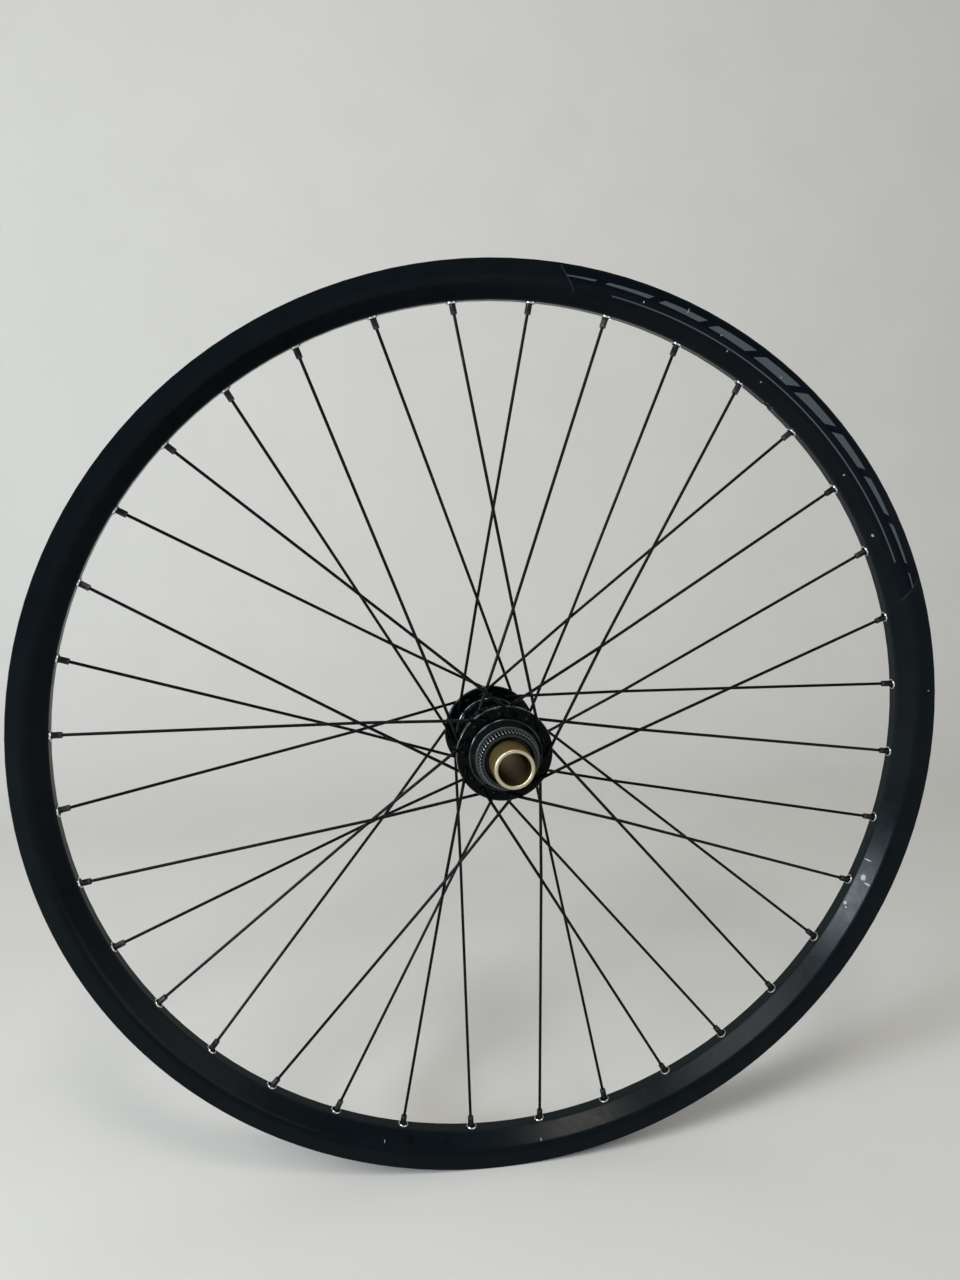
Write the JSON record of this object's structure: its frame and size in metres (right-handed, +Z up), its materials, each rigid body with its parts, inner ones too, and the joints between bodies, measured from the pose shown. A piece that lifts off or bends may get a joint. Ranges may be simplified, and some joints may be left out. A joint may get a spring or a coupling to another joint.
{
  "type": "bicycle wheel",
  "caption": "Front bicycle wheel without a tyre: hollow double-wall rim, crossed wire spokes and a disc-brake hub that turns on a hollow through-axle tube.",
  "frame": {"origin": "the wheel's centre, on the axle, midway between the faces that the fork closes on", "axes": "+Y along the axle with the brake side facing -Y, +Z up, +X across"},
  "size_m": [0.5959, 0.11, 0.596],
  "materials": {
    "rim_black": "satin black anodised, bluish reflections",
    "eyelet_silver": "bright swaged eyelets",
    "nipple_black": "black brass nipples",
    "hub_black": "gloss black anodised with worn bare metal on the spline teeth",
    "axle_alloy": "plain turned alloy",
    "cap_gold": "pale gold anodised, bright bevel at the mouth",
    "seal_rubber": "black rubber",
    "bearing_steel": "ground bearing steel",
    "ball_steel": "polished steel balls",
    "cage_polymer": "brown polymer",
    "spoke_black": "black coated steel wire"
  },
  "bodies": {
    "axle": {"axle_tube": "axle_alloy", "left_end_cap": "cap_gold", "right_end_cap": "cap_gold", "end_cap_o_rings": "seal_rubber", "left_inner_race": "bearing_steel", "right_inner_race": "bearing_steel"},
    "wheel": {"rim": "rim_black", "spoke_eyelets": "eyelet_silver", "spoke_nipples": "nipple_black", "hub_shell": "hub_black", "left_outer_race": "bearing_steel", "right_outer_race": "bearing_steel", "left_seal": "seal_rubber", "right_seal": "seal_rubber", "spoke_01": "spoke_black", "spoke_02": "spoke_black", "spoke_03": "spoke_black", "spoke_04": "spoke_black", "spoke_05": "spoke_black", "spoke_06": "spoke_black", "spoke_07": "spoke_black", "spoke_08": "spoke_black", "spoke_09": "spoke_black", "spoke_10": "spoke_black", "spoke_11": "spoke_black", "spoke_12": "spoke_black", "spoke_13": "spoke_black", "spoke_14": "spoke_black", "spoke_15": "spoke_black", "spoke_16": "spoke_black", "spoke_17": "spoke_black", "spoke_18": "spoke_black", "spoke_19": "spoke_black", "spoke_20": "spoke_black", "spoke_21": "spoke_black", "spoke_22": "spoke_black", "spoke_23": "spoke_black", "spoke_24": "spoke_black", "spoke_25": "spoke_black", "spoke_26": "spoke_black", "spoke_27": "spoke_black", "spoke_28": "spoke_black", "spoke_29": "spoke_black", "spoke_30": "spoke_black", "spoke_31": "spoke_black", "spoke_32": "spoke_black", "spoke_33": "spoke_black", "spoke_34": "spoke_black", "spoke_35": "spoke_black", "spoke_36": "spoke_black"},
    "left_ball_set": {"left_balls": "ball_steel", "left_ball_cage": "cage_polymer"},
    "right_ball_set": {"right_balls": "ball_steel", "right_ball_cage": "cage_polymer"}
  },
  "joints": [
    {"name": "wheel_spin", "type": "hinge", "parent": "axle", "child": "wheel", "pos_m": [0, 0, 0], "axis": [0, 1, 0], "continuous": true},
    {"name": "left_balls_roll", "type": "hinge", "parent": "axle", "child": "left_ball_set", "pos_m": [0, -0.027, 0], "axis": [0, 1, 0], "continuous": true},
    {"name": "right_balls_roll", "type": "hinge", "parent": "axle", "child": "right_ball_set", "pos_m": [0, 0.0335, 0], "axis": [0, 1, 0], "continuous": true}
  ],
  "couplings": [
    {"joint": "left_balls_roll", "follows": "wheel_spin", "ratio": 0.5565},
    {"joint": "right_balls_roll", "follows": "wheel_spin", "ratio": 0.5565}
  ]
}
